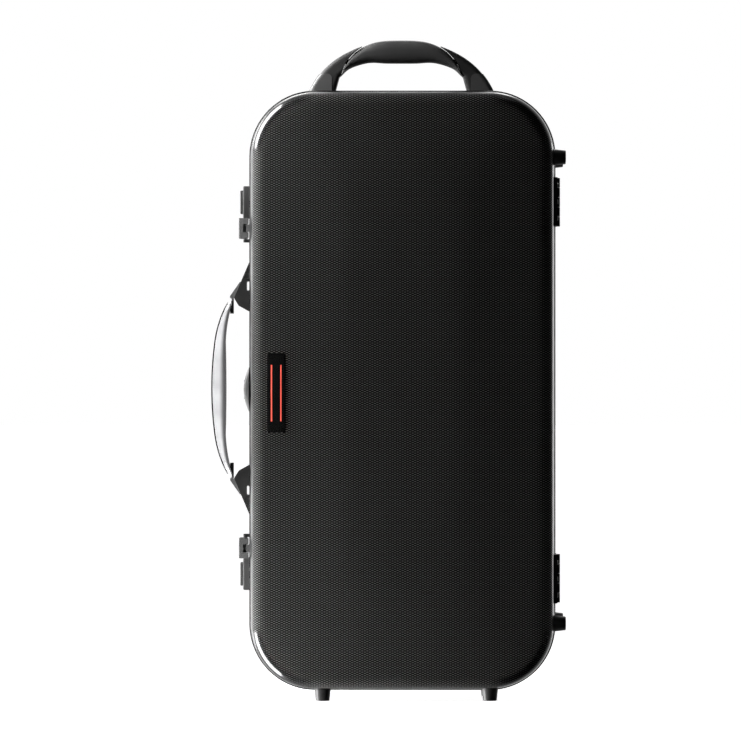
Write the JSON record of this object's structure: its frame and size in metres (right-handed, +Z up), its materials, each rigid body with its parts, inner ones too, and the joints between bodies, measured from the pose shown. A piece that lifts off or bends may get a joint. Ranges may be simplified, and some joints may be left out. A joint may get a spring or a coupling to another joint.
{
  "type": "bassoon case",
  "caption": "Upright moulded hard case for a bassoon with a hinged lid, side latches, a lock, two carrying handles, feet and fitted foam.",
  "frame": {"origin": "on the floor, under the middle of the whole case as it stands on its end feet", "axes": "+Z up along the case, +X towards the hinge side, -Y out of the face of the lid"},
  "size_m": [0.3786, 0.148, 0.7061],
  "materials": {
    "shell": "gloss black, fine woven relief",
    "rim": "satin black",
    "seal": "matt",
    "lining": "short pile over foam",
    "foot_rubber": "satin black",
    "bright_steel": "satin",
    "grey_metal": "satin grey",
    "bracket_plastic": "fine matt",
    "strap_rubber": "satin black",
    "silver_grip": "soft satin silver",
    "soft_grip": "fine grained",
    "handle_plastic": "satin black",
    "black_metal": "satin black",
    "grey_plastic": "satin dark grey",
    "latch_plastic": "satin black",
    "dark_steel": "satin",
    "lock_metal": "satin dark grey",
    "badge_gloss": "deep gloss black"
  },
  "bodies": {
    "base": {"base_foam": "lining", "base_foot_screws": "bright_steel", "base_hinge_rivets": "bright_steel", "base_left_end_foot": "foot_rubber", "base_lower_side_foot": "foot_rubber", "base_right_end_foot": "foot_rubber", "base_rim": "rim", "base_shell": "shell", "base_upper_side_foot": "foot_rubber", "lock_hinge_pin": "bright_steel", "lock_plate": "lock_metal", "lower_bracket_pin": "bright_steel", "lower_handle_bracket": "bracket_plastic", "lower_handle_lug": "grey_metal", "lower_handle_pin": "bright_steel", "lower_hasp_pin": "bright_steel", "lower_hinge_base_leaf": "black_metal", "lower_hinge_pin": "bright_steel", "lower_latch_plate": "latch_plastic", "lower_latch_spring": "bright_steel", "top_handle_frame": "handle_plastic", "top_handle_left_cover": "handle_plastic", "top_handle_pad": "soft_grip", "top_handle_right_cover": "handle_plastic", "upper_bracket_pin": "bright_steel", "upper_handle_bracket": "bracket_plastic", "upper_handle_lug": "grey_metal", "upper_handle_pin": "bright_steel", "upper_hasp_pin": "bright_steel", "upper_hinge_base_leaf": "black_metal", "upper_hinge_pin": "bright_steel", "upper_latch_plate": "latch_plastic", "upper_latch_spring": "bright_steel"},
    "lid": {"badge_plate": "badge_gloss", "crook_block": "lining", "lid_foam": "lining", "lid_foam_band": "lining", "lid_foot_screws": "bright_steel", "lid_hinge_rivets": "bright_steel", "lid_left_end_foot": "foot_rubber", "lid_lower_side_foot": "foot_rubber", "lid_right_end_foot": "foot_rubber", "lid_rim": "rim", "lid_shell": "shell", "lid_upper_side_foot": "foot_rubber", "lock_strike": "lock_metal", "lower_hinge_lid_leaf": "black_metal", "lower_keeper": "grey_plastic", "rim_seal": "seal", "upper_hinge_lid_leaf": "black_metal", "upper_keeper": "grey_plastic"},
    "side_handle": {"side_handle_strap": "strap_rubber", "side_handle_grip": "silver_grip"},
    "lock_flap": {"lock_flap": "lock_metal"},
    "lock_cylinder": {"lock_cylinder": "dark_steel"},
    "upper_hasp": {"upper_hasp": "grey_plastic"},
    "upper_slider": {"upper_latch_slider": "latch_plastic"},
    "lower_hasp": {"lower_hasp": "grey_plastic"},
    "lower_slider": {"lower_latch_slider": "latch_plastic"}
  },
  "joints": [
    {"name": "lid_hinge", "type": "hinge", "parent": "base", "child": "lid", "pos_m": [0.18165, -0.018, 0.3303], "axis": [0, 0, 1], "range_deg": [0, 105]},
    {"name": "side_handle_swing", "type": "hinge", "parent": "base", "child": "side_handle", "pos_m": [-0.16725, 0.005, 0.3325], "axis": [0, 0, 1], "range_deg": [-50, 50]},
    {"name": "lock_flap_hinge", "type": "hinge", "parent": "base", "child": "lock_flap", "pos_m": [-0.15245, -0.006, 0.3311], "axis": [0, 0, -1], "range_deg": [0, 45]},
    {"name": "lock_cylinder_turn", "type": "hinge", "parent": "lock_flap", "child": "lock_cylinder", "pos_m": [-0.15435, -0.021, 0.3311], "axis": [-1, 0, 0], "range_deg": [0, 90]},
    {"name": "upper_hasp_hinge", "type": "hinge", "parent": "base", "child": "upper_hasp", "pos_m": [-0.15265, 0.003, 0.5033], "axis": [0, 0, -1], "range_deg": [0, 100]},
    {"name": "upper_slider_travel", "type": "slide", "parent": "base", "child": "upper_slider", "axis": [0, 0, 1], "range_m": [0, 0.004], "stiffness_N_per_m": 250, "springref_m": -0.002, "deforming": ["upper_latch_spring"]},
    {"name": "lower_hasp_hinge", "type": "hinge", "parent": "base", "child": "lower_hasp", "pos_m": [-0.15265, 0.003, 0.1617], "axis": [0, 0, -1], "range_deg": [0, 100]},
    {"name": "lower_slider_travel", "type": "slide", "parent": "base", "child": "lower_slider", "axis": [0, 0, -1], "range_m": [0, 0.004], "stiffness_N_per_m": 250, "springref_m": -0.002, "deforming": ["lower_latch_spring"]}
  ]
}
